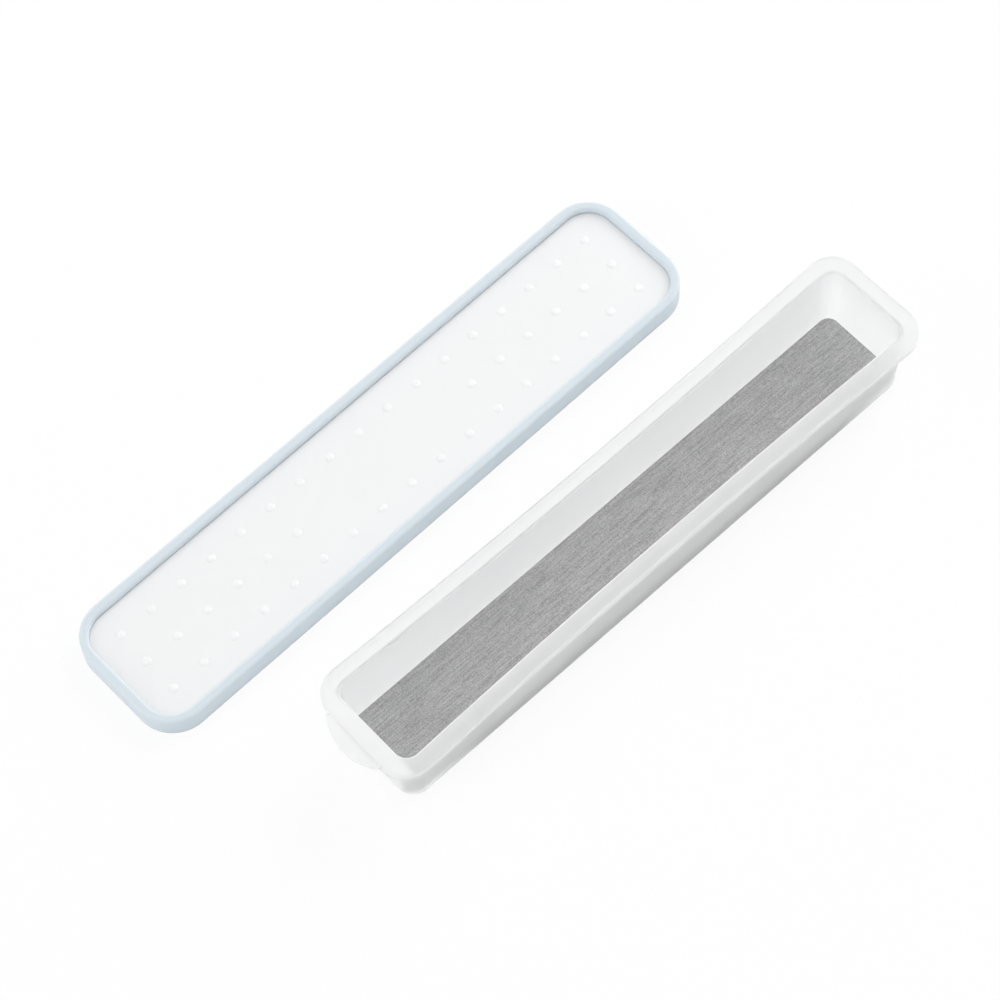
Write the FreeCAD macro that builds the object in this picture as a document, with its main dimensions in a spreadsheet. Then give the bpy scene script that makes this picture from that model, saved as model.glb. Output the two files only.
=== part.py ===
import FreeCAD, Part
import enum
import math
import os
import Sketcher

# Toothbrush travel case: an open tray with its lid lying face up beside it.
# The origin is the middle of the tray's underside, +X runs along the tray away from its tab, +Z is up.

document = FreeCAD.newDocument("ToothbrushTravelCase")
sheet = document.addObject("Spreadsheet::Sheet", "Sizes")

# Driving dimensions: lengths in millimetres, the lid's turn in degrees, and plain counts
SIZES = {
    # Tray: flange and lip
    "rim_length": "212.6",
    "rim_width": "41.7",
    "rim_bow": "1.4",
    "rim_corner": "9.2",
    "rim_round": "0.5",
    "flange_width": "5.6",
    "flange_thickness": "1.5",
    "lip_depth": "2.2",
    "lip_wall": "1.2",
    # Tray: tub below the flange
    "tray_height": "29.2",
    "tray_wall": "1.4",
    "floor_thickness": "1.6",
    "mouth_corner": "4.2",
    "mouth_round": "0.7",
    "base_corner": "6.2",
    "floor_corner_drop": "1.0",
    "base_round": "1.4",
    "base_band": "2.0",
    "side_draw": "0.5",
    "end_draw": "0.8",
    # Tray: vent dips across the flange
    "vent_width": "5.6",
    "vent_depth": "0.3",
    "vent_place": "29",
    # Liner on the tray's floor
    "liner_thickness": "1.0",
    "liner_gap": "0.25",
    # Pull tabs, one above the other when the case is shut
    "tab_width": "22.4",
    "tab_corner": "0.8",
    "tray_tab_reach": "5.0",
    "tray_tab_step": "1.2",
    "tray_tab_thickness": "1.3",
    "lid_tab_reach": "2.2",
    "lid_tab_step": "0.4",
    # Lid: panel and soft rim
    "fit_gap": "0.3",
    "bond_gap": "0.05",
    "panel_thickness": "1.2",
    "skirt_depth": "4.4",
    "skirt_side": "2.8",
    "skirt_end": "2.4",
    "lid_corner": "12.7",
    "bead_height": "2.5",
    "bead_width": "3.05",
    "bead_outer_round": "0.8",
    "bead_inner_round": "1.0",
    "window_corner": "9.2",
    "ridge_reach": "0.5",
    "ridge_height": "0.8",
    # Lid: raised dots
    "dot_diameter": "3.2",
    "dot_height": "0.32",
    "dot_shoulder_diameter": "2.3",
    "dot_shoulder_height": "0.2",
    "dot_crown_diameter": "1.1",
    "dot_sides": "12",
    "dot_pitch": "12.0",
    "column_pitch": "12.0",
    "dot_margin": "8.5",
    "dot_shift": "0.6",
    "plain_rows": "5",
    # Where the lid lies beside the tray
    "lid_spacing": "26.3",
    "lid_shift": "33.0",
    "lid_turn": "0.97",
}
for row, (alias, number) in enumerate(SIZES.items(), start=1):
    sheet.set(f"A{row}", alias.replace("_", " "))
    sheet.set(f"B{row}", number)
    sheet.setAlias(f"B{row}", alias)
document.recompute()

# Sizes that follow from the driving ones
MOUTH_LENGTH = "(Sizes.rim_length - 2 * Sizes.flange_width)"
MOUTH_WIDTH = "(Sizes.rim_width - 2 * Sizes.flange_width)"
BASE_LENGTH = f"({MOUTH_LENGTH} + 2 * Sizes.tray_wall - 2 * Sizes.end_draw)"
BASE_WIDTH = f"({MOUTH_WIDTH} + 2 * Sizes.tray_wall - 2 * Sizes.side_draw)"
FLOOR_LENGTH = f"({BASE_LENGTH} - 2 * Sizes.tray_wall)"
FLOOR_WIDTH = f"({BASE_WIDTH} - 2 * Sizes.tray_wall)"
FLOOR_CORNER = "(Sizes.base_corner - Sizes.tray_wall - Sizes.floor_corner_drop)"
CAVITY_LENGTH = "(Sizes.rim_length + 2 * Sizes.fit_gap)"
CAVITY_WIDTH = "(Sizes.rim_width + 2 * Sizes.fit_gap)"
CAVITY_CORNER = "(Sizes.rim_corner + Sizes.fit_gap)"
LID_LENGTH = f"({CAVITY_LENGTH} + 2 * Sizes.skirt_end)"
LID_WIDTH = f"({CAVITY_WIDTH} + 2 * Sizes.skirt_side)"
WINDOW_LENGTH = f"({LID_LENGTH} - 2 * Sizes.bead_width)"
WINDOW_WIDTH = f"({LID_WIDTH} - 2 * Sizes.bead_width)"
PANEL_TOP = "(Sizes.skirt_depth + Sizes.panel_thickness)"
LID_HEIGHT = f"({PANEL_TOP} + Sizes.bead_height)"
RIDGE_LEVEL = "(Sizes.skirt_depth - Sizes.lip_depth - Sizes.fit_gap - Sizes.ridge_height / 2)"
DOT_ROWS = f"(floor(({WINDOW_LENGTH} - 2 * Sizes.dot_margin) / Sizes.dot_pitch) + 1)"
DOT_RUN = f"(({DOT_ROWS} - 1) * Sizes.dot_pitch)"
MIDDLE_ROWS = f"(floor(({DOT_ROWS} - Sizes.plain_rows) / 2))"
MIDDLE_RUN = f"(({MIDDLE_ROWS} - 1) * Sizes.dot_pitch)"

# Names of a sketch's own points: start, end and centre of a curve, the two axes and the origin
START, END, CENTRE = enum.IntEnum("CurvePoint", "START END CENTRE")
X_AXIS, Y_AXIS = -1, -2
ORIGIN = (X_AXIS, START)

# Distances below this count as level or upright
LEVEL = 1e-6


def size(formula):
    """Work out a formula of sheet sizes as a number."""
    return float(sheet.evalExpression(formula))


def new_body(label):
    """Start one piece of the case."""
    body = document.addObject("PartDesign::Body", label)
    body.Label = label
    return body


def origin_feature(body, role):
    """Find one of the piece's own planes or axes."""
    return next(feature for feature in body.Origin.OriginFeatures if feature.Role == role)


def new_sketch(body, name, offset=None, plane="XY_Plane"):
    """Start a sketch on one of the piece's own planes, moved off it along its normal."""
    sketch = body.newObject("Sketcher::SketchObject", name)
    sketch.AttachmentSupport = (origin_feature(body, plane), [""])
    sketch.MapMode = "FlatFace"
    if offset:
        sketch.setExpression("AttachmentOffset.Base.z", offset)
    return sketch


def dimension(sketch, name, formula, kind, *where):
    """Add one named dimension and bind it to a formula of sheet sizes."""
    index = sketch.addConstraint(Sketcher.Constraint(kind, *where, size(formula)))
    sketch.renameConstraint(index, name)
    sketch.setExpression(f"Constraints.{name}", formula)


def arc(centre_x, centre_y, radius, first, last):
    """Make a circular arc between two angles in radians."""
    centre = FreeCAD.Vector(centre_x, centre_y, 0)
    circle = Part.Circle(centre, FreeCAD.Vector(0, 0, 1), radius)
    return Part.ArcOfCircle(circle, first, last)


def line(start, end):
    """Make a straight edge between two points of a sketch."""
    return Part.LineSegment(FreeCAD.Vector(*start, 0), FreeCAD.Vector(*end, 0))


def outline(sketch, name, length, width, corner, bow=None):
    """Draw a rounded rectangle about the origin, its long sides drawn in at mid-length by a bow."""
    radius = size(corner)
    centre_x = size(length) / 2 - radius
    centre_y = size(width) / 2 - radius
    quarter = math.pi / 2
    lean = 0
    if bow:
        to_bow_centre = (centre_x ** 2 + size(bow) ** 2) / (2 * size(bow))
        lean = math.asin(centre_x / to_bow_centre)
        bow_centre_y = centre_y + to_bow_centre - size(bow)

    corners = [
        arc(centre_x, centre_y, radius, 0, quarter + lean),
        arc(-centre_x, centre_y, radius, quarter - lean, 2 * quarter),
        arc(-centre_x, -centre_y, radius, 2 * quarter, 3 * quarter + lean),
        arc(centre_x, -centre_y, radius, 3 * quarter - lean, 4 * quarter),
    ]
    end_x = centre_x + radius
    side_y = centre_y + radius
    left_end = line((-end_x, centre_y), (-end_x, -centre_y))
    right_end = line((end_x, -centre_y), (end_x, centre_y))
    if bow:
        bow_radius = to_bow_centre - radius
        far_side = arc(0, bow_centre_y, bow_radius, 3 * quarter - lean, 3 * quarter + lean)
        near_side = arc(0, -bow_centre_y, bow_radius, quarter - lean, quarter + lean)
    else:
        far_side = line((-centre_x, side_y), (centre_x, side_y))
        near_side = line((centre_x, -side_y), (-centre_x, -side_y))

    first = sketch.addGeometry(corners, False)[0]
    right_far, left_far, left_near, right_near = range(first, first + len(corners))
    far, left, near, right = sketch.addGeometry([far_side, left_end, near_side, right_end], False)
    for one, one_point, other, other_point in [
        (right_far, END, far, END),
        (far, START, left_far, START),
        (left_far, END, left, START),
        (left, END, left_near, START),
        (left_near, END, near, END),
        (near, START, right_near, START),
        (right_near, END, right, START),
        (right, END, right_far, START),
    ]:
        sketch.addConstraint(Sketcher.Constraint("Tangent", one, one_point, other, other_point))
    for other in (left_far, left_near, right_near):
        sketch.addConstraint(Sketcher.Constraint("Equal", right_far, other))
    for one, other, axis in [
        (right_far, left_far, Y_AXIS),
        (right_near, left_near, Y_AXIS),
        (right_far, right_near, X_AXIS),
    ]:
        sketch.addConstraint(Sketcher.Constraint("Symmetric", one, CENTRE, other, CENTRE, axis))
    dimension(sketch, f"{name}_corner", corner, "Radius", right_far)
    centre_from_end = f"{length} / 2 - {corner}"
    centre_from_side = f"{width} / 2 - {corner}"
    dimension(sketch, f"{name}_x", centre_from_end, "DistanceX", *ORIGIN, right_far, CENTRE)
    dimension(sketch, f"{name}_y", centre_from_side, "DistanceY", *ORIGIN, right_far, CENTRE)
    if bow:
        sketch.addConstraint(Sketcher.Constraint("Equal", far, near))
        bow_formula = f"(({centre_from_end}) ^ 2 + {bow} ^ 2) / (2 * {bow}) - {corner}"
        dimension(sketch, f"{name}_bow", bow_formula, "Radius", far)


def tab_outline(sketch, root, shoulder, reach):
    """Draw a pull tab along +X: straight sides from the root to the shoulder, then a shallow arc."""
    half_width = size("Sizes.tab_width") / 2
    root_x = size(root)
    shoulder_x = size(shoulder)
    rise_formula = f"({reach} - {shoulder})"
    radius_formula = f"((Sizes.tab_width / 2) ^ 2 + {rise_formula} ^ 2) / (2 * {rise_formula})"
    radius = size(radius_formula)
    spread = math.asin(half_width / radius)
    back, near, front, far = sketch.addGeometry(
        [
            line((root_x, half_width), (root_x, -half_width)),
            line((root_x, -half_width), (shoulder_x, -half_width)),
            arc(size(reach) - radius, 0, radius, -spread, spread),
            line((shoulder_x, half_width), (root_x, half_width)),
        ],
        False,
    )
    for one, other in [(back, near), (near, front), (front, far), (far, back)]:
        sketch.addConstraint(Sketcher.Constraint("Coincident", one, END, other, START))
    sketch.addConstraint(Sketcher.Constraint("Symmetric", back, START, back, END, X_AXIS))
    sketch.addConstraint(Sketcher.Constraint("Horizontal", near))
    sketch.addConstraint(Sketcher.Constraint("Horizontal", far))
    sketch.addConstraint(Sketcher.Constraint("Equal", near, far))
    dimension(sketch, "width", "Sizes.tab_width", "DistanceY", back, END, back, START)
    dimension(sketch, "root", root, "DistanceX", *ORIGIN, back, START)
    dimension(sketch, "shoulder", shoulder, "DistanceX", *ORIGIN, near, END)
    dimension(sketch, "front", radius_formula, "Radius", front)


def rectangle(sketch, start_x, end_x, half_width):
    """Draw a rectangle from one distance along X to another, centred on the X axis."""
    first_x, last_x, side_y = size(start_x), size(end_x), size(half_width)
    back, near, front, far = sketch.addGeometry(
        [
            line((first_x, side_y), (first_x, -side_y)),
            line((first_x, -side_y), (last_x, -side_y)),
            line((last_x, -side_y), (last_x, side_y)),
            line((last_x, side_y), (first_x, side_y)),
        ],
        False,
    )
    for one, other in [(back, near), (near, front), (front, far), (far, back)]:
        sketch.addConstraint(Sketcher.Constraint("Coincident", one, END, other, START))
    sketch.addConstraint(Sketcher.Constraint("Symmetric", back, START, back, END, X_AXIS))
    sketch.addConstraint(Sketcher.Constraint("Horizontal", near))
    sketch.addConstraint(Sketcher.Constraint("Horizontal", far))
    sketch.addConstraint(Sketcher.Constraint("Vertical", front))
    dimension(sketch, "start", start_x, "DistanceX", *ORIGIN, back, START)
    dimension(sketch, "finish", end_x, "DistanceX", *ORIGIN, front, START)
    dimension(sketch, "side", half_width, "DistanceY", *ORIGIN, back, START)


def polygon(sketch, corners):
    """Draw straight sides through named corners, each given by two formulas of sheet sizes."""
    points = [(size(across), size(up)) for corner, across, up in corners]
    sides = sketch.addGeometry(
        [line(start, end) for start, end in zip(points, points[1:] + points[:1])], False
    )
    for one, other in zip(sides, sides[1:] + sides[:1]):
        sketch.addConstraint(Sketcher.Constraint("Coincident", one, END, other, START))
    for side, (corner, across, up) in zip(sides, corners):
        dimension(sketch, f"{corner}_across", across, "DistanceX", *ORIGIN, side, START)
        dimension(sketch, f"{corner}_up", up, "DistanceY", *ORIGIN, side, START)
    return sides


def pad(body, name, sketch, length):
    """Raise a sketch into solid material."""
    feature = body.newObject("PartDesign::Pad", name)
    feature.Profile = sketch
    feature.setExpression("Length", length)
    document.recompute()
    return feature


def pocket_up(body, name, sketch, depth=None):
    """Cut upward from a sketch, to a depth or right through."""
    before = body.Shape.Volume
    feature = body.newObject("PartDesign::Pocket", name)
    feature.Profile = sketch
    feature.Reversed = True
    if depth:
        feature.setExpression("Length", depth)
    else:
        feature.Type = "ThroughAll"
    document.recompute()
    check_smaller(body, name, before)
    return feature


def loft(body, kind, name, lowest, *higher):
    """Run straight walls from the lowest outline up through the higher ones."""
    feature = body.newObject(kind, name)
    feature.Profile = lowest
    feature.Sections = list(higher)
    feature.Ruled = True
    document.recompute()
    return feature


def check_smaller(body, name, before):
    """Stop if a cut took nothing away."""
    if body.Shape.Volume >= before:
        raise ValueError(f"{body.Label}: {name} cut nothing")


def face_loop(shape, height, outer):
    """Name the edges round the widest level face at a height: its outer loop, or its inner ones."""
    level = [
        face for face in shape.Faces
        if face.BoundBox.ZLength < LEVEL and abs(face.BoundBox.ZMin - height) < LEVEL
    ]
    face = max(level, key=lambda candidate: candidate.Area)
    rim = face.OuterWire.Edges
    if not outer:
        rim = [edge for edge in face.Edges if not any(edge.isSame(other) for other in rim)]
    return [
        f"Edge{number}" for number, edge in enumerate(shape.Edges, start=1)
        if any(edge.isSame(other) for other in rim)
    ]


def upright_edges(shape, distance):
    """Name the upright edges at the given distance along X from the origin."""
    return [
        f"Edge{number}" for number, edge in enumerate(shape.Edges, start=1)
        if edge.BoundBox.XLength < LEVEL and edge.BoundBox.YLength < LEVEL
        and abs(abs(edge.BoundBox.XMin) - distance) < LEVEL
    ]


def rounded(body, name, base, edges, radius):
    """Round the named edges of a feature."""
    feature = body.newObject("PartDesign::Fillet", name)
    feature.Base = (base, edges)
    feature.setExpression("Radius", radius)
    document.recompute()
    return feature


def place_lid_piece(body):
    """Lay a piece of the lid on the floor beside the tray."""
    body.setExpression("Placement.Base.x", "-Sizes.lid_shift")
    body.setExpression("Placement.Base.y", f"Sizes.rim_width / 2 + Sizes.lid_spacing + {LID_WIDTH} / 2")
    body.setExpression("Placement.Rotation.Angle", "Sizes.lid_turn")


def make_tray():
    """Drafted tub with a lipped flange, a pull tab at one end and two vent dips."""
    body = new_body("tray")
    wall_reach = "(Sizes.flange_width - Sizes.tray_wall)"

    # Outer walls: an upright band at the base, then walls whose long sides are drawn in along the top
    foot = new_sketch(body, "FootOutline")
    outline(foot, "foot", BASE_LENGTH, BASE_WIDTH, "Sizes.base_corner")
    pad(body, "BaseBand", foot, "Sizes.base_band")
    base = new_sketch(body, "BaseOutline", "Sizes.base_band")
    outline(base, "base", BASE_LENGTH, BASE_WIDTH, "Sizes.base_corner")
    wall_top = new_sketch(body, "WallTopOutline", "Sizes.tray_height")
    outline(
        wall_top, "wall",
        f"(Sizes.rim_length - 2 * {wall_reach})",
        f"(Sizes.rim_width - 2 * {wall_reach})",
        "(Sizes.mouth_corner + Sizes.tray_wall)",
        "Sizes.rim_bow",
    )
    loft(body, "PartDesign::AdditiveLoft", "OuterWalls", base, wall_top)

    # Flange, and the lip that turns down from its edge
    flange = new_sketch(body, "FlangeOutline", "Sizes.tray_height - Sizes.flange_thickness")
    outline(flange, "flange", "Sizes.rim_length", "Sizes.rim_width", "Sizes.rim_corner", "Sizes.rim_bow")
    pad(body, "Flange", flange, "Sizes.flange_thickness")
    lip = new_sketch(body, "LipOutline", "Sizes.tray_height - Sizes.lip_depth")
    outline(lip, "outside", "Sizes.rim_length", "Sizes.rim_width", "Sizes.rim_corner", "Sizes.rim_bow")
    outline(
        lip, "inside",
        "(Sizes.rim_length - 2 * Sizes.lip_wall)",
        "(Sizes.rim_width - 2 * Sizes.lip_wall)",
        "(Sizes.rim_corner - Sizes.lip_wall)",
        "Sizes.rim_bow",
    )
    pad(body, "Lip", lip, "Sizes.lip_depth")

    # Inside of the tub: an upright mouth through the flange, with the drawn-in walls below it
    mouth = new_sketch(body, "MouthOutline", "Sizes.tray_height - Sizes.flange_thickness")
    outline(mouth, "mouth", MOUTH_LENGTH, MOUTH_WIDTH, "Sizes.mouth_corner", "Sizes.rim_bow")
    pocket_up(body, "Mouth", mouth)
    before = body.Shape.Volume
    floor_outline = new_sketch(body, "FloorOutline", "Sizes.floor_thickness")
    outline(floor_outline, "floor", FLOOR_LENGTH, FLOOR_WIDTH, FLOOR_CORNER)
    wall_end = new_sketch(body, "InnerWallTop", "Sizes.tray_height - Sizes.flange_thickness")
    outline(wall_end, "inner", MOUTH_LENGTH, MOUTH_WIDTH, "Sizes.mouth_corner", "Sizes.rim_bow")
    inside = loft(body, "PartDesign::SubtractiveLoft", "Inside", floor_outline, wall_end)
    check_smaller(body, "Inside", before)

    # Rounded edges
    top = size("Sizes.tray_height")
    mouth_edges = face_loop(inside.Shape, top, outer=False)
    feature = rounded(body, "MouthRound", inside, mouth_edges, "Sizes.mouth_round")
    feature = rounded(body, "RimRound", feature, face_loop(feature.Shape, top, outer=True), "Sizes.rim_round")
    rounded(body, "BaseRound", feature, face_loop(feature.Shape, 0, outer=True), "Sizes.base_round")

    # Pull tab, flush with the flange's top
    tab = new_sketch(body, "TabOutline", "Sizes.tray_height - Sizes.tray_tab_thickness")
    shoulder = "(Sizes.rim_length / 2 + Sizes.tray_tab_step)"
    tab_outline(
        tab,
        "(Sizes.rim_length / 2 - Sizes.lip_wall)",
        shoulder,
        "(Sizes.rim_length / 2 + Sizes.tray_tab_reach)",
    )
    tab.AttachmentOffset = FreeCAD.Placement(
        tab.AttachmentOffset.Base, FreeCAD.Rotation(FreeCAD.Vector(0, 0, 1), 180)
    )
    feature = pad(body, "Tab", tab, "Sizes.tray_tab_thickness")
    rounded(body, "TabRound", feature, upright_edges(feature.Shape, size(shoulder)), "Sizes.tab_corner")

    # Vent dips: one shallow round cut across both long flanges
    before = body.Shape.Volume
    vent = new_sketch(body, "VentProfile", plane="XZ_Plane")
    vent_radius = "((Sizes.vent_width / 2) ^ 2 + Sizes.vent_depth ^ 2) / (2 * Sizes.vent_depth)"
    vent_x = "(Sizes.rim_length / 2 - Sizes.vent_place)"
    vent_z = f"(Sizes.tray_height - Sizes.vent_depth + {vent_radius})"
    circle = Part.Circle(
        FreeCAD.Vector(-size(vent_x), size(vent_z), 0), FreeCAD.Vector(0, 0, 1), size(vent_radius)
    )
    ring = vent.addGeometry(circle, False)
    dimension(vent, "radius", vent_radius, "Radius", ring)
    dimension(vent, "place", vent_x, "DistanceX", ring, CENTRE, *ORIGIN)
    dimension(vent, "height", vent_z, "DistanceY", *ORIGIN, ring, CENTRE)
    cut = body.newObject("PartDesign::Pocket", "VentDips")
    cut.Profile = vent
    cut.Midplane = True
    cut.Type = "ThroughAll"
    document.recompute()
    check_smaller(body, "VentDips", before)
    return body


def make_liner():
    """Soft mat lying on the flat of the tray's floor."""
    body = new_body("liner")
    mat = new_sketch(body, "MatOutline")
    outline(
        mat, "mat",
        f"({FLOOR_LENGTH} - 2 * Sizes.liner_gap)",
        f"({FLOOR_WIDTH} - 2 * Sizes.liner_gap)",
        f"({FLOOR_CORNER} - Sizes.liner_gap)",
    )
    pad(body, "Mat", mat, "Sizes.liner_thickness")
    body.setExpression("Placement.Base.z", "Sizes.floor_thickness")
    return body


def dot_ring(body, name, x, y, height, diameter):
    """Draw a level ring of equal straight sides round a dot's middle."""
    sketch = new_sketch(body, name, height)
    count = round(size("Sizes.dot_sides"))
    middle_x, middle_y, radius = size(x), size(y), size(diameter) / 2
    turns = [2 * math.pi * step / count for step in range(count)]
    points = [(middle_x + radius * math.cos(turn), middle_y + radius * math.sin(turn)) for turn in turns]
    middle = FreeCAD.Vector(middle_x, middle_y, 0)
    circle = sketch.addGeometry(Part.Circle(middle, FreeCAD.Vector(0, 0, 1), radius), True)
    sides = sketch.addGeometry([line(*ends) for ends in zip(points, points[1:] + points[:1])], False)
    round_the_ring = list(zip(sides, sides[1:] + sides[:1]))
    sketch.addConstraint(
        [Sketcher.Constraint("Coincident", one, END, other, START) for one, other in round_the_ring]
        + [Sketcher.Constraint("PointOnObject", one, START, circle) for one in sides]
        + [Sketcher.Constraint("Equal", sides[0], other) for other in sides[1:]]
        + [Sketcher.Constraint("Horizontal", sides[0], START, circle, CENTRE)]
    )
    dimension(sketch, "diameter", diameter, "Diameter", circle)
    dimension(sketch, "along", x, "DistanceX", *ORIGIN, circle, CENTRE)
    dimension(sketch, "across", y, "DistanceY", *ORIGIN, circle, CENTRE)
    return sketch


def dot(body, name, x, y):
    """Raise one low dot on the panel's top: a steep band, a shallow band and a flat crown."""
    rings = [
        dot_ring(body, f"{name}{level}", x, y, f"({PANEL_TOP} + {height})", diameter)
        for level, height, diameter in [
            ("Root", "-Sizes.panel_thickness / 2", "Sizes.dot_diameter"),
            ("Edge", "0", "Sizes.dot_diameter"),
            ("Shoulder", "Sizes.dot_shoulder_height", "Sizes.dot_shoulder_diameter"),
            ("Crown", "Sizes.dot_height", "Sizes.dot_crown_diameter"),
        ]
    ]
    return loft(body, "PartDesign::AdditiveLoft", name, *rings)


def dot_column(body, name, y, rows, run, from_tab_end=False):
    """Repeat a dot along the panel from one end of the dot field."""
    field_end = f"{DOT_RUN} / 2" if from_tab_end else f"-{DOT_RUN} / 2"
    first = dot(body, f"{name}Dot", f"({field_end} - Sizes.dot_shift)", y)
    column = body.newObject("PartDesign::LinearPattern", f"{name}Column")
    column.Originals = [first]
    column.Direction = (origin_feature(body, "X_Axis"), [""])
    column.Reversed = from_tab_end
    column.setExpression("Length", run)
    column.setExpression("Occurrences", rows)
    column.Refine = False
    body.Tip = column
    document.recompute()


def make_lid_panel():
    """Flat plate of the lid with its pull tab and its field of raised dots."""
    body = new_body("lid_panel")
    plate = new_sketch(body, "PlateOutline", "Sizes.skirt_depth")
    outline(
        plate, "plate",
        f"({CAVITY_LENGTH} - 2 * Sizes.bond_gap)",
        f"({CAVITY_WIDTH} - 2 * Sizes.bond_gap)",
        f"({CAVITY_CORNER} - Sizes.bond_gap)",
    )
    pad(body, "Plate", plate, "Sizes.panel_thickness")

    # Pull tab, level with the plate
    tab = new_sketch(body, "TabOutline", "Sizes.skirt_depth")
    shoulder = f"({LID_LENGTH} / 2 + Sizes.lid_tab_step)"
    tab_outline(
        tab,
        f"({CAVITY_LENGTH} / 2 - Sizes.panel_thickness)",
        shoulder,
        f"({LID_LENGTH} / 2 + Sizes.lid_tab_reach)",
    )
    feature = pad(body, "Tab", tab, "Sizes.panel_thickness")
    rounded(body, "TabRound", feature, upright_edges(feature.Shape, size(shoulder)), "Sizes.tab_corner")

    # Two full columns of dots, and a middle one that leaves the centre of the lid plain
    dot_column(body, "Far", "Sizes.column_pitch", DOT_ROWS, DOT_RUN)
    dot_column(body, "Near", "-Sizes.column_pitch", DOT_ROWS, DOT_RUN)
    dot_column(body, "MiddleTabEnd", "0", MIDDLE_ROWS, MIDDLE_RUN, from_tab_end=True)
    dot_column(body, "MiddlePlainEnd", "0", MIDDLE_ROWS, MIDDLE_RUN)
    place_lid_piece(body)
    return body


def make_lid_rim():
    """Soft rim: a raised bead round the panel and a skirt that goes over the tray's flange."""
    body = new_body("lid_rim")
    outside = new_sketch(body, "RimOutline")
    outline(outside, "rim", LID_LENGTH, LID_WIDTH, "Sizes.lid_corner")
    pad(body, "Rim", outside, LID_HEIGHT)
    window = new_sketch(body, "WindowOutline")
    outline(window, "window", WINDOW_LENGTH, WINDOW_WIDTH, "Sizes.window_corner")
    pocket_up(body, "Window", window)
    cavity = new_sketch(body, "CavityOutline")
    outline(cavity, "cavity", CAVITY_LENGTH, CAVITY_WIDTH, CAVITY_CORNER)
    feature = pocket_up(body, "Cavity", cavity, PANEL_TOP)

    # Rounded bead
    top = size(LID_HEIGHT)
    inner_edges = face_loop(feature.Shape, top, outer=False)
    feature = rounded(body, "BeadInnerRound", feature, inner_edges, "Sizes.bead_inner_round")
    outer_edges = face_loop(feature.Shape, top, outer=True)
    rounded(body, "BeadOuterRound", feature, outer_edges, "Sizes.bead_outer_round")

    # Snap ridge inside the skirt, just below where the tray's lip comes
    path = new_sketch(body, "RidgePath", RIDGE_LEVEL)
    outline(path, "path", CAVITY_LENGTH, CAVITY_WIDTH, CAVITY_CORNER)
    section = new_sketch(body, "RidgeSection", plane="XZ_Plane")
    root_x = f"({CAVITY_LENGTH} / 2 + Sizes.ridge_reach)"
    corners = [
        ("lower", root_x, f"({RIDGE_LEVEL} - Sizes.ridge_height / 2)"),
        ("upper", root_x, f"({RIDGE_LEVEL} + Sizes.ridge_height / 2)"),
        ("tip", f"({CAVITY_LENGTH} / 2 - Sizes.ridge_reach)", RIDGE_LEVEL),
    ]
    polygon(section, corners)
    ridge = body.newObject("PartDesign::AdditivePipe", "SnapRidge")
    ridge.Profile = section
    ridge.Spine = (path, [f"Edge{number}" for number in range(1, path.GeometryCount + 1)])
    document.recompute()

    # Way out through the skirt for both tabs
    gate = new_sketch(body, "TabGate")
    rectangle(
        gate,
        f"({CAVITY_LENGTH} / 2 - 2 * Sizes.ridge_reach)",
        f"({LID_LENGTH} / 2 + Sizes.skirt_end)",
        "(Sizes.tab_width / 2 + Sizes.fit_gap)",
    )
    pocket_up(body, "TabGateCut", gate, PANEL_TOP)
    place_lid_piece(body)
    return body


pieces = [make_tray(), make_liner(), make_lid_panel(), make_lid_rim()]
document.recompute()

for item in document.Objects:
    if "Invalid" in item.State or "Error" in item.State:
        raise ValueError(f"{item.Label} failed: {item.State}")
os.makedirs("parts", exist_ok=True)
for piece in pieces:
    shape = piece.Shape
    if shape.isNull() or not shape.isValid():
        raise ValueError(f"{piece.Label} is not a valid solid")
    shape.exportStep(f"parts/{piece.Label}.step")
    print(piece.Label, len(shape.Solids), round(shape.Volume, 1), shape.BoundBox)
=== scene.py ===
# %% [markdown]
# # A travel case with a loose lid, dressed in Blender
#
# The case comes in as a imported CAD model: a frosted tray with a grey mat on its floor, and a lid that lies
# beside it, made of a dotted white plate in a pale blue soft rim. The shapes are right already, so this
# lesson is about what the eye reads next: how light goes over and through cloudy plastic, over soft rubber
# and over a brushed mat, and how one camera is set to look at them as the photograph does.

# %% Load the frame
import math

import bpy
from mathutils import Matrix, Vector

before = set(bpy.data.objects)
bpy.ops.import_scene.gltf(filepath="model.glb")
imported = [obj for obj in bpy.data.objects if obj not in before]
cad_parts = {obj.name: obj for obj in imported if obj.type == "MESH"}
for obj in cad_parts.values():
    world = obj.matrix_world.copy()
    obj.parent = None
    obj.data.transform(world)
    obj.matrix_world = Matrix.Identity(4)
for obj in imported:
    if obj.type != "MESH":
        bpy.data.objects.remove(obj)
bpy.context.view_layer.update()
MM = 0.001
print("pieces:", sorted(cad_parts))

# %% [markdown]
# ## The camera
#
# The regular grid of dots on the lid acts as a ruler that the photograph brings along: where its rows and
# columns fall fixes the camera's place. A long lens from about a metre away keeps the two halves of the case
# nearly parallel. It is placed by an aim point on the floor, a distance and three angles, which say more to
# a reader than a matrix would.

# %% Place the camera
AIM = Vector((-16.3, 38.6, 0)) * MM
DISTANCE = 1044.6 * MM
AZIMUTH = math.radians(-128.15)
ELEVATION = math.radians(63.77)
ROLL = math.radians(-4.96)
FOCAL_LENGTH = 124.2
SENSOR_WIDTH = 36.0


def looking_at_aim(toward, distance):
    """A place at a distance from the aim point, turned so that it looks at that point."""
    turn = toward.to_track_quat("Z", "Y").to_matrix().to_4x4()
    return Matrix.Translation(AIM + toward * distance) @ turn


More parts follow.
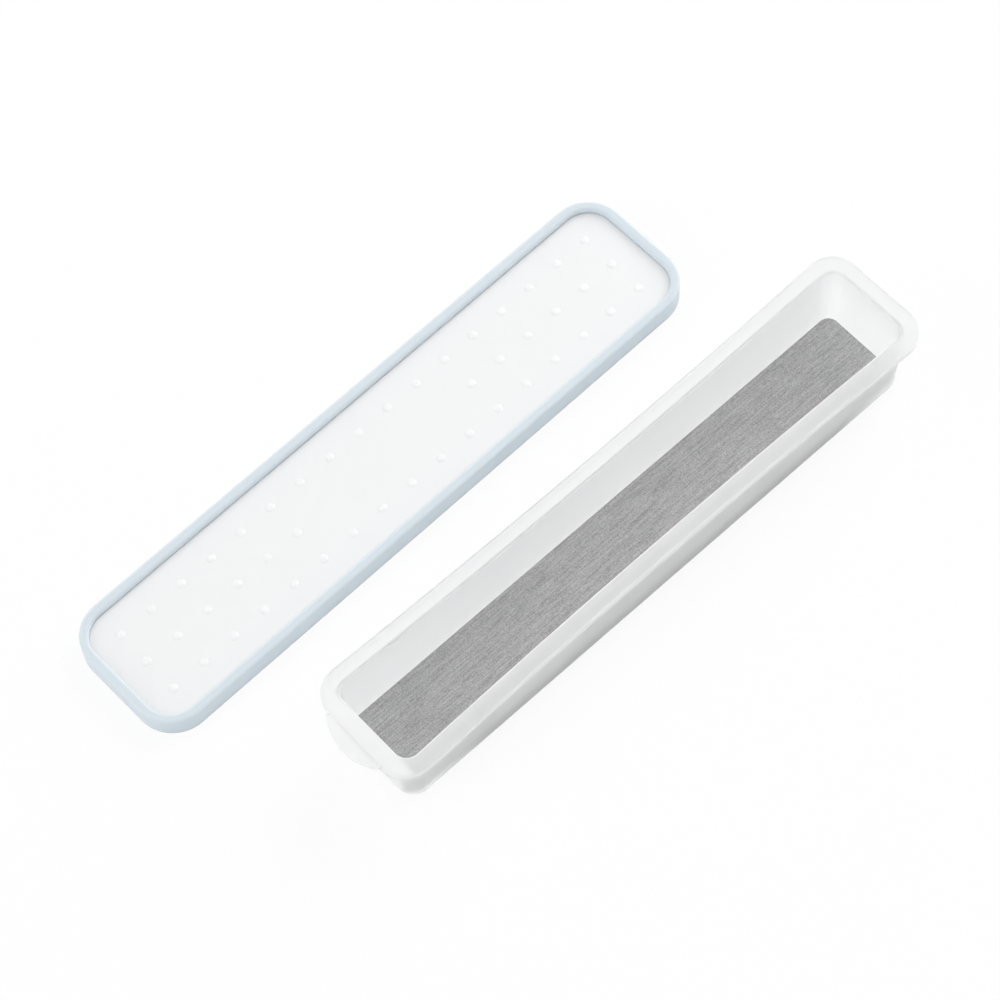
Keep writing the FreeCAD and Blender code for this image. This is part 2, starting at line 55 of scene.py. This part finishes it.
toward_camera = Vector((
    math.cos(ELEVATION) * math.cos(AZIMUTH),
    math.cos(ELEVATION) * math.sin(AZIMUTH),
    math.sin(ELEVATION),
))
lens = bpy.data.cameras.new("product_lens")
lens.sensor_width = SENSOR_WIDTH
lens.lens = FOCAL_LENGTH
camera = bpy.data.objects.new("product_camera", lens)
bpy.context.scene.collection.objects.link(camera)
camera.matrix_world = looking_at_aim(toward_camera, DISTANCE) @ Matrix.Rotation(ROLL, 4, "Z")
bpy.context.scene.camera = camera
print("camera at, mm:", [round(value / MM, 1) for value in camera.matrix_world.translation])

# %% [markdown]
# ## Writing shaders as arithmetic
#
# A material is a small program of nodes. Wiring it by hand takes many lines, so one class wraps a socket and
# lets Python's own operators add the Math nodes, and one method adds any other kind of node.

# %% A socket that can be added and multiplied
class Signal:
    """One shader socket that takes part in Python arithmetic."""

    def __init__(self, tree, socket=None):
        self.tree = tree
        self.socket = socket

    def node(self, kind, inputs=None, output=0, stops=None, **settings):
        """Add a node, set its settings first and then its sockets, and hand back one of its outputs."""
        made = self.tree.nodes.new(kind)
        for name, value in settings.items():
            setattr(made, name, value)
        for place, (position, value) in enumerate(stops or []):
            ramp = made.color_ramp.elements
            stop = ramp[place] if place < len(ramp) else ramp.new(position)
            stop.position = position
            stop.color = (value, value, value, 1)
        for name, value in (inputs or {}).items():
            if isinstance(value, Signal):
                self.tree.links.new(value.socket, made.inputs[name])
            else:
                made.inputs[name].default_value = value
        return Signal(self.tree, made.outputs[output])

    def maths(self, operation, *values):
        """Add one Math node."""
        return self.node("ShaderNodeMath", dict(enumerate(values)), operation=operation)

    def feed(self, node, socket):
        """Link this value to a socket of another node."""
        self.tree.links.new(self.socket, node.inputs[socket])

    def __add__(self, other):
        return self.maths("ADD", self, other)

    def __sub__(self, other):
        return self.maths("SUBTRACT", self, other)

    def __rsub__(self, other):
        return self.maths("SUBTRACT", other, self)

    def __mul__(self, other):
        return self.maths("MULTIPLY", self, other)

    __radd__ = __add__
    __rmul__ = __mul__


# %% Helpers that start a finish and put it on a piece
def new_finish(name, **constants):
    """Start a material; constants are set on the shader's own sockets."""
    material = bpy.data.materials.new(name)
    material.use_nodes = True
    shader = material.node_tree.nodes["Principled BSDF"]
    for socket, value in constants.items():
        shader.inputs[socket.replace("_", " ")].default_value = value
    return material, shader, Signal(material.node_tree)


def dress(node, material):
    """Give a CAD node its finish."""
    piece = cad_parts[node]
    piece.data.materials.clear()
    piece.data.materials.append(material)
    print(f"{node}: {material.name}, {len(material.node_tree.nodes)} shader nodes")


# %% Helpers that draw patterns
def object_point(paint, stretch=(1, 1, 1)):
    """Read a point of the piece in metres, stretched to draw a pattern out along an axis."""
    point = paint.node("ShaderNodeTexCoord", output="Object")
    return paint.node("ShaderNodeMapping", {"Vector": point, "Scale": stretch})


def grain(paint, point, size, detail=2.0):
    """Noise whose blotches measure about the given size in metres."""
    return paint.node("ShaderNodeTexNoise", {"Vector": point, "Scale": 1 / size, "Detail": detail})


def between(paint, share, first, second):
    """Mix two colours, written out or already mixed, by a share that changes over the surface."""
    ends = [colour if isinstance(colour, Signal) else (*colour, 1) for colour in (first, second)]
    inputs = {"Factor": share, "A": ends[0], "B": ends[1]}
    return paint.node("ShaderNodeMix", inputs, "Result", data_type="RGBA")


def relief(paint, shader, height, strength, depth):
    """Let a pattern stand out as fine relief."""
    bump = paint.node("ShaderNodeBump", {"Height": height, "Strength": strength, "Distance": depth})
    bump.feed(shader, "Normal")


# %% Helpers that find a place on a piece
def axes(paint, kind):
    """Split a point of the piece, or the way that it faces there, into X, Y and Z."""
    vector = paint.node("ShaderNodeTexCoord", output=kind)
    return (paint.node("ShaderNodeSeparateXYZ", {"Vector": vector}, axis) for axis in "XYZ")


def falling(paint, value, start, end):
    """1 up to a first value, 0 from a second one on, smooth between them."""
    return paint.node(
        "ShaderNodeMapRange",
        {"Value": value, "From Min": start, "From Max": end, "To Min": 1.0, "To Max": 0.0},
        interpolation_type="SMOOTHSTEP",
    )


def largest(paint, *values):
    """The largest of several values at each point."""
    most = values[0]
    for value in values[1:]:
        most = paint.maths("MAXIMUM", most, value)
    return most


# %% Helpers that mix whole shaders
def mixed_shaders(paint, first, second, share):
    """Mix a share of a second shader into a first one."""
    return paint.node("ShaderNodeMixShader", {0: share, 1: first, 2: second})


def show(material, shader):
    """Make a shader the one that the material shows."""
    shader.feed(material.node_tree.nodes["Material Output"], "Surface")


# %% [markdown]
# ## The frosted tray
#
# The tray is moulded from natural polypropylene, which is cloudy rather than white. Most of the light goes
# on through a wall and is blurred on its way, so a wall with the white floor behind it looks bright and a
# wall in front of the mat looks grey. Rough transmission with little refraction gives that. A small share of
# a Translucent shader stands for the light that the plastic scatters all round. Faint clouds, as wide as a
# thumb, show how the plastic flowed.
#
# Some places look different. On the outside, a soft grey band is painted at the foot of the long walls, and
# the wall below the lip is painted a touch greyer. This is painted shade for the mat's long edges and the
# shade under the tray that would show through the wall. The flange is milkier than the walls, most of all at
# the end with the pull tab. Its two rounded edges, on the lip outside and round the mouth inside, scatter the
# light that runs along inside the plastic and show as pale lines. All of these are found from where a point
# lies and which way it faces. The painted shade darkens the base colour, and the milky places get a share of
# a white Diffuse shader.

# %% Find the places on the tray
# Painted shade on the outer walls: the height of the grey band at the foot, where it fades before the ends,
# and how much grey the wall below the lip gets
FOOT_SHADE_BAND = (1.0 * MM, 9.0 * MM)
FOOT_SHADE_ENDS = (68 * MM, 98 * MM)
WALL_SHADE = 0.06
LIP_START = (26.4 * MM, 26.7 * MM)
LIP_FACING = (0.75, 0.98)
LIP_SHARE = 0.7
MOUTH_START = (28.2 * MM, 28.6 * MM)
MOUTH_FACING = (0.9, 0.99)
MOUTH_SHARE = 0.65
FLANGE_START = (28.7 * MM, 28.9 * MM)
FLANGE_SHARE = 0.24
MILKY_END = (-102.0 * MM, -99.8 * MM)
TAB_START = (-106.6 * MM, -106.2 * MM)
END_SHARE = 0.6


def tray_places(paint):
    """Find the painted shade at the foot of the walls, and how milky the flange, its edges and the tab's end
    are.
    """
    x, y, z = axes(paint, "Object")
    along, across, upward = axes(paint, "Normal")
    outside = paint.maths("GREATER_THAN", x * along + y * across, 0.0)
    middle = falling(paint, paint.maths("ABSOLUTE", x), *FOOT_SHADE_ENDS)
    below_lip = falling(paint, z, *LIP_START)
    # Painted shade: a grey band at the foot and a touch of grey below the lip, standing for the mat and the
    # shade under the tray seen through the wall
    painted_foot_shade = outside * middle * (falling(paint, z, *FOOT_SHADE_BAND) * (1 - WALL_SHADE) + below_lip * WALL_SHADE)
    lip = outside * (1 - below_lip) * falling(paint, upward, *LIP_FACING)
    mouth = (1 - outside) * (1 - falling(paint, z, *MOUTH_START)) * falling(paint, upward, *MOUTH_FACING)
    flange = 1 - falling(paint, z, *FLANGE_START)
    tab_end = falling(paint, x, *MILKY_END) * (1 - falling(paint, x, *TAB_START))
    shares = (lip * LIP_SHARE, mouth * MOUTH_SHARE, flange * FLANGE_SHARE, tab_end * END_SHARE)
    return painted_foot_shade, largest(paint, *shares)


print("pale lip from, mm:", LIP_START[1] / MM, "flange from, mm:", FLANGE_START[1] / MM)

# %% Tray
TRAY_WHITE = (0.97, 0.975, 0.975)
TRAY_CLOUD = (0.95, 0.955, 0.96)
TRAY_LIGHT = (0.98, 0.985, 0.985, 1)
MILK_WHITE = (0.98, 0.98, 0.98, 1)
# Grey of the painted shade at the foot of the walls
FOOT_SHADE_GREY = (0.40, 0.40, 0.40)
TRAY_CLOUD_SIZE = 22 * MM
TRAY_FROST_SIZE = 0.35 * MM
TRAY_ROUGH, TRAY_ROUGH_CHANGE = 0.3, 0.08
SCATTER_LEAST, SCATTER_CHANGE = 0.08, 0.1
TRAY_RELIEF = (0.1, 0.05 * MM)
PLASTIC_BENDING = 1.18
PLASTIC_CLEARNESS = 0.92


def frosted_plastic(name):
    """Cloudy plastic with a fine frost, through which light passes."""
    material, shader, paint = new_finish(name, IOR=PLASTIC_BENDING, Transmission_Weight=PLASTIC_CLEARNESS)
    point = object_point(paint)
    clouds = grain(paint, point, TRAY_CLOUD_SIZE, 3.0)
    frost = grain(paint, point, TRAY_FROST_SIZE)
    painted_foot_shade, milky = tray_places(paint)
    white = between(paint, clouds, TRAY_WHITE, TRAY_CLOUD)
    # The base colour is darkened by the painted shade at the foot of the walls
    between(paint, painted_foot_shade, white, FOOT_SHADE_GREY).feed(shader, "Base Color")
    (TRAY_ROUGH + clouds * TRAY_ROUGH_CHANGE + frost * TRAY_ROUGH_CHANGE).feed(shader, "Roughness")
    relief(paint, shader, frost, *TRAY_RELIEF)
    scattered = paint.node("ShaderNodeBsdfTranslucent", {"Color": TRAY_LIGHT})
    milk = paint.node("ShaderNodeBsdfDiffuse", {"Color": MILK_WHITE})
    clear = Signal(material.node_tree, shader.outputs["BSDF"])
    cloudy = mixed_shaders(paint, clear, scattered, SCATTER_LEAST + clouds * SCATTER_CHANGE)
    show(material, mixed_shaders(paint, cloudy, milk, milky))
    return material


dress("tray", frosted_plastic("frosted_tray_plastic"))

# %% [markdown]
# ## The dotted plate
#
# The lid's plate is a whiter, denser plastic than the tray. Its dots are low and smooth, and they show only
# as soft bright and grey halves, because light spreads a little under the skin of the plastic. Subsurface
# scattering of about a millimetre does the same here.

# %% Plate of the lid
PLATE_WHITE = (0.915, 0.92, 0.925)
PLATE_CLOUD = (0.90, 0.905, 0.91)
PLATE_SPREAD = (1.2 * MM, 1.2 * MM, 1.2 * MM)
PLATE_CLOUD_SIZE = 30 * MM
PLATE_FROST_SIZE = 0.3 * MM
PLATE_ROUGH, PLATE_CLOUD_ROUGH, PLATE_FROST_ROUGH = 0.28, 0.06, 0.08
PLATE_RELIEF = (0.08, 0.04 * MM)


def milky_plastic(name):
    """Dense white plastic under whose skin light spreads a little."""
    material, shader, paint = new_finish(
        name, Subsurface_Weight=1.0, Subsurface_Radius=PLATE_SPREAD, Subsurface_Scale=1.0
    )
    point = object_point(paint)
    clouds = grain(paint, point, PLATE_CLOUD_SIZE, 3.0)
    frost = grain(paint, point, PLATE_FROST_SIZE)
    between(paint, clouds, PLATE_WHITE, PLATE_CLOUD).feed(shader, "Base Color")
    (PLATE_ROUGH + clouds * PLATE_CLOUD_ROUGH + frost * PLATE_FROST_ROUGH).feed(shader, "Roughness")
    relief(paint, shader, frost, *PLATE_RELIEF)
    return material


dress("lid_panel", milky_plastic("milky_plate_plastic"))

# %% [markdown]
# ## The soft rim
#
# The rim is a soft rubber moulded round the plate. Its skin has a fine matt grain, and its blue is so pale
# that it shows mostly beside the white plate. Faint pale patches of bloom lie on it at random. Faces that
# look up are painted paler than the sides, a painted sheen for the whiter light that they reflect.

# %% Rim of the lid
RIM_BLUE = (0.685, 0.768, 0.835)
# Paler colour of the random bloom patches and of the painted sheen on faces that look up
RIM_BLOOM_AND_SHEEN = (0.695, 0.757, 0.79)
RIM_SPREAD = (1.2 * MM, 1.2 * MM, 1.2 * MM)
SIDE_FACING = (0.2, 0.8)
BLOOM_SIZE = 9 * MM
# Share of random bloom patches, and share of painted sheen on faces that look up
BLOOM_PATCHES, TOP_SHEEN = 0.4, 0.6
RIM_GRAIN_SIZE = 0.25 * MM
RIM_ROUGH, BLOOM_ROUGH, RIM_GRAIN_ROUGH = 0.44, 0.1, 0.06
RIM_RELIEF = (0.15, 0.05 * MM)
RIM_GLOSS = 0.35


def soft_rubber(name):
    """Pale blue soft rubber with a fine matt grain, a faint bloom and a painted sheen on faces that look up.
    """
    material, shader, paint = new_finish(
        name,
        Specular_IOR_Level=RIM_GLOSS,
        Subsurface_Weight=1.0,
        Subsurface_Radius=RIM_SPREAD,
        Subsurface_Scale=1.0,
    )
    point = object_point(paint)
    _, _, upward = axes(paint, "Normal")
    # Painted sheen: faces that look up are mixed towards the paler colour, on top of the random bloom patches
    sheen_on_top = 1 - falling(paint, upward, *SIDE_FACING)
    bloom_and_sheen = grain(paint, point, BLOOM_SIZE, 4.0) * BLOOM_PATCHES + sheen_on_top * TOP_SHEEN
    fine = grain(paint, point, RIM_GRAIN_SIZE)
    between(paint, bloom_and_sheen, RIM_BLUE, RIM_BLOOM_AND_SHEEN).feed(shader, "Base Color")
    (RIM_ROUGH + bloom_and_sheen * BLOOM_ROUGH + fine * RIM_GRAIN_ROUGH).feed(shader, "Roughness")
    relief(paint, shader, fine, *RIM_RELIEF)
    return material


dress("lid_rim", soft_rubber("pale_blue_rubber"))

# %% [markdown]
# ## The mat
#
# A thin mat covers the tray's floor. It looks brushed: streaks no wider than a hair run along the tray,
# lighter and darker in turn. Noise that is drawn out along X gives them, and a second, even noise of the
# same fineness breaks them up.

# %% Mat
MAT_DARK = (0.24, 0.24, 0.239)
MAT_LIGHT = (0.525, 0.525, 0.523)
STREAK_STRETCH = (0.05, 1, 1)
THREAD_SIZE = 0.35 * MM
PATCH_SIZE = 30 * MM
STREAK_SHARE, FLECK_SHARE = 0.42, 0.58
TONE_STOPS = [(0.3, 0), (0.7, 1)]
MAT_ROUGH, WEAVE_ROUGH, PATCH_ROUGH = 0.6, 0.15, 0.1
MAT_RELIEF = (0.25, 0.08 * MM)
MAT_GLOSS = 0.3


def brushed_mat(name):
    """Grey mat with fine short streaks that run along the tray."""
    material, shader, paint = new_finish(name, Specular_IOR_Level=MAT_GLOSS)
    streaks = grain(paint, object_point(paint, STREAK_STRETCH), THREAD_SIZE, 1.0)
    flecks = grain(paint, object_point(paint), THREAD_SIZE, 1.0)
    patches = grain(paint, object_point(paint), PATCH_SIZE)
    weave = streaks * STREAK_SHARE + flecks * FLECK_SHARE
    tone = paint.node("ShaderNodeValToRGB", {"Fac": weave}, stops=TONE_STOPS)
    between(paint, tone, MAT_DARK, MAT_LIGHT).feed(shader, "Base Color")
    (MAT_ROUGH + weave * WEAVE_ROUGH + patches * PATCH_ROUGH).feed(shader, "Roughness")
    relief(paint, shader, weave, *MAT_RELIEF)
    return material


dress("liner", brushed_mat("brushed_grey_mat"))

# %% [markdown]
# ## Floor and light
#
# Product photographs of this kind are taken on white with broad lamps. The main lamp stands beyond the plain
# end of the tray, so it brightens the dots and the inside edges on one side and shines through the walls. A
# weaker lamp opposite keeps the other ends from going grey, and a bright room fills the rest. Camera rays see
# most of the floor's light as plain white, which pales the background but leaves a soft shadow. Reflections,
# and rays that pass through the tray, see the same white, so the plastic shows the floor that the eye sees.

# %% Floor
FLOOR_REACH = 6.0
FLOOR_DROP = 0.05 * MM
FLOOR_WHITE = (0.95, 0.95, 0.95, 1)
FLOOR_ROUGH = 0.9
FLOOR_LIFT = 0.88
PURE_WHITE = (1, 1, 1, 1)


def seen_directly(paint):
    """1 for rays that show the surroundings to the eye: straight, in a reflection or through a piece."""
    camera_ray, glossy_ray, through_ray = (
        paint.node("ShaderNodeLightPath", output=f"Is {kind} Ray")
        for kind in ("Camera", "Glossy", "Transmission")
    )
    return camera_ray + glossy_ray + through_ray


bpy.ops.object.select_all(action="DESELECT")
bpy.ops.mesh.primitive_plane_add(size=FLOOR_REACH, location=(AIM.x, AIM.y, -FLOOR_DROP))
floor = bpy.context.object
floor.name = "studio_floor"
floor_finish, floor_shader, floor_paint = new_finish(
    "pale_floor", Base_Color=FLOOR_WHITE, Roughness=FLOOR_ROUGH, Specular_IOR_Level=0.0
)
plain_white = floor_paint.node("ShaderNodeEmission", {"Color": PURE_WHITE, "Strength": 1.0})
matt_floor = Signal(floor_finish.node_tree, floor_shader.outputs["BSDF"])
white_share = seen_directly(floor_paint) * FLOOR_LIFT
show(floor_finish, mixed_shaders(floor_paint, matt_floor, plain_white, white_share))
floor.data.materials.append(floor_finish)
print("floor reach, m:", FLOOR_REACH)

# %% World and lamps
FILL = 0.72
LAMP_DISTANCE = 2.6
LAMP_SIZE = 2.0
KEY_DIRECTION, KEY_WATTS = (0.96, 0.1, 0.65), 31
SIDE_DIRECTION, SIDE_WATTS = (-0.85, 0.3, 0.5), 15


def soft_box(name, direction, watts):
    """A square lamp that looks at the aim point."""
    lamp = bpy.data.lights.new(name, "AREA")
    lamp.size = LAMP_SIZE
    lamp.energy = watts
    holder = bpy.data.objects.new(name, lamp)
    bpy.context.scene.collection.objects.link(holder)
    holder.matrix_world = looking_at_aim(Vector(direction).normalized(), LAMP_DISTANCE)
    print(f"{name}: {watts} W")


world = bpy.data.worlds.new("studio_air")
bpy.context.scene.world = world
world.use_nodes = True
backdrop = world.node_tree.nodes["Background"]
backdrop.inputs["Color"].default_value = PURE_WHITE
(FILL + seen_directly(Signal(world.node_tree)) * (1 - FILL)).feed(backdrop, "Strength")
soft_box("key_softbox", KEY_DIRECTION, KEY_WATTS)
soft_box("side_softbox", SIDE_DIRECTION, SIDE_WATTS)
bpy.context.scene.view_settings.view_transform = "Standard"
